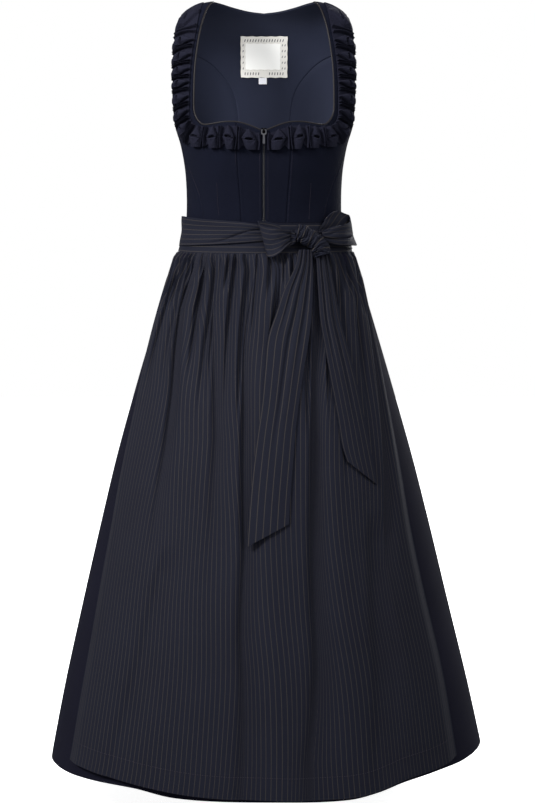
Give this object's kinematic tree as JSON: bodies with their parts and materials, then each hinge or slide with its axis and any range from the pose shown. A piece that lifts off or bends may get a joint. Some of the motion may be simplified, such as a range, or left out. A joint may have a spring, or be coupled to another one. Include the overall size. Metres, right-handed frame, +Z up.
{
  "type": "dirndl with striped apron",
  "caption": "Sleeveless worn-form dirndl with pinched ruffle neckline, zip front, gathered long skirt and a striped apron tied in a bow.",
  "frame": {"origin": "midway between the undersides of the two straps at the shoulder, where the wearer's shoulders hold the dress", "axes": "+Z up along the body, the front faces -Y, +X is the right-hand side seen from the front (the wearer's left)"},
  "size_m": [0.7194, 0.5585, 1.2563],
  "materials": {
    "wool": "matt wool cloth",
    "lining": "smooth matt lining",
    "piping": "thin satin piping",
    "skirt_cloth": "matt twill",
    "apron_cloth": "dull twill with fine lengthwise stripes about 9 mm apart",
    "tie_cloth": "dull twill with fine lengthwise stripes about 9 mm apart",
    "label": "woven label, bare",
    "size_label": "woven tag, bare",
    "coil": "closed zip coil",
    "zip_metal": "gunmetal"
  },
  "bodies": {
    "dress": {"bodice_center_front_right": "wool", "bodice_center_front_left": "wool", "bodice_side_front_right": "wool", "bodice_side_front_left": "wool", "bodice_side_back_right": "wool", "bodice_side_back_left": "wool", "bodice_center_back": "wool", "lining_side_right": "lining", "lining_side_left": "lining", "lining_center_back": "lining", "neck_piping_right": "piping", "neck_piping_left": "piping", "ruffle_right": "wool", "ruffle_left": "wool", "skirt_front": "skirt_cloth", "skirt_back": "skirt_cloth", "apron_panel": "apron_cloth", "apron_waistband": "tie_cloth", "apron_tie_right": "tie_cloth", "apron_tie_left": "tie_cloth", "bow_loop_left": "tie_cloth", "bow_loop_right": "tie_cloth", "bow_knot": "tie_cloth", "bow_tail_long": "tie_cloth", "bow_tail_short": "tie_cloth", "neck_label": "label", "size_label": "size_label", "zip_coil": "coil", "zip_slider": "zip_metal"},
    "zip_pull": {"zip_pull": "zip_metal"}
  },
  "joints": [
    {"name": "zip_pull_swing", "type": "hinge", "parent": "dress", "child": "zip_pull", "pos_m": [0, -0.11711, -0.2085], "axis": [-1, 0, 0], "range_deg": [0, 165]}
  ]
}
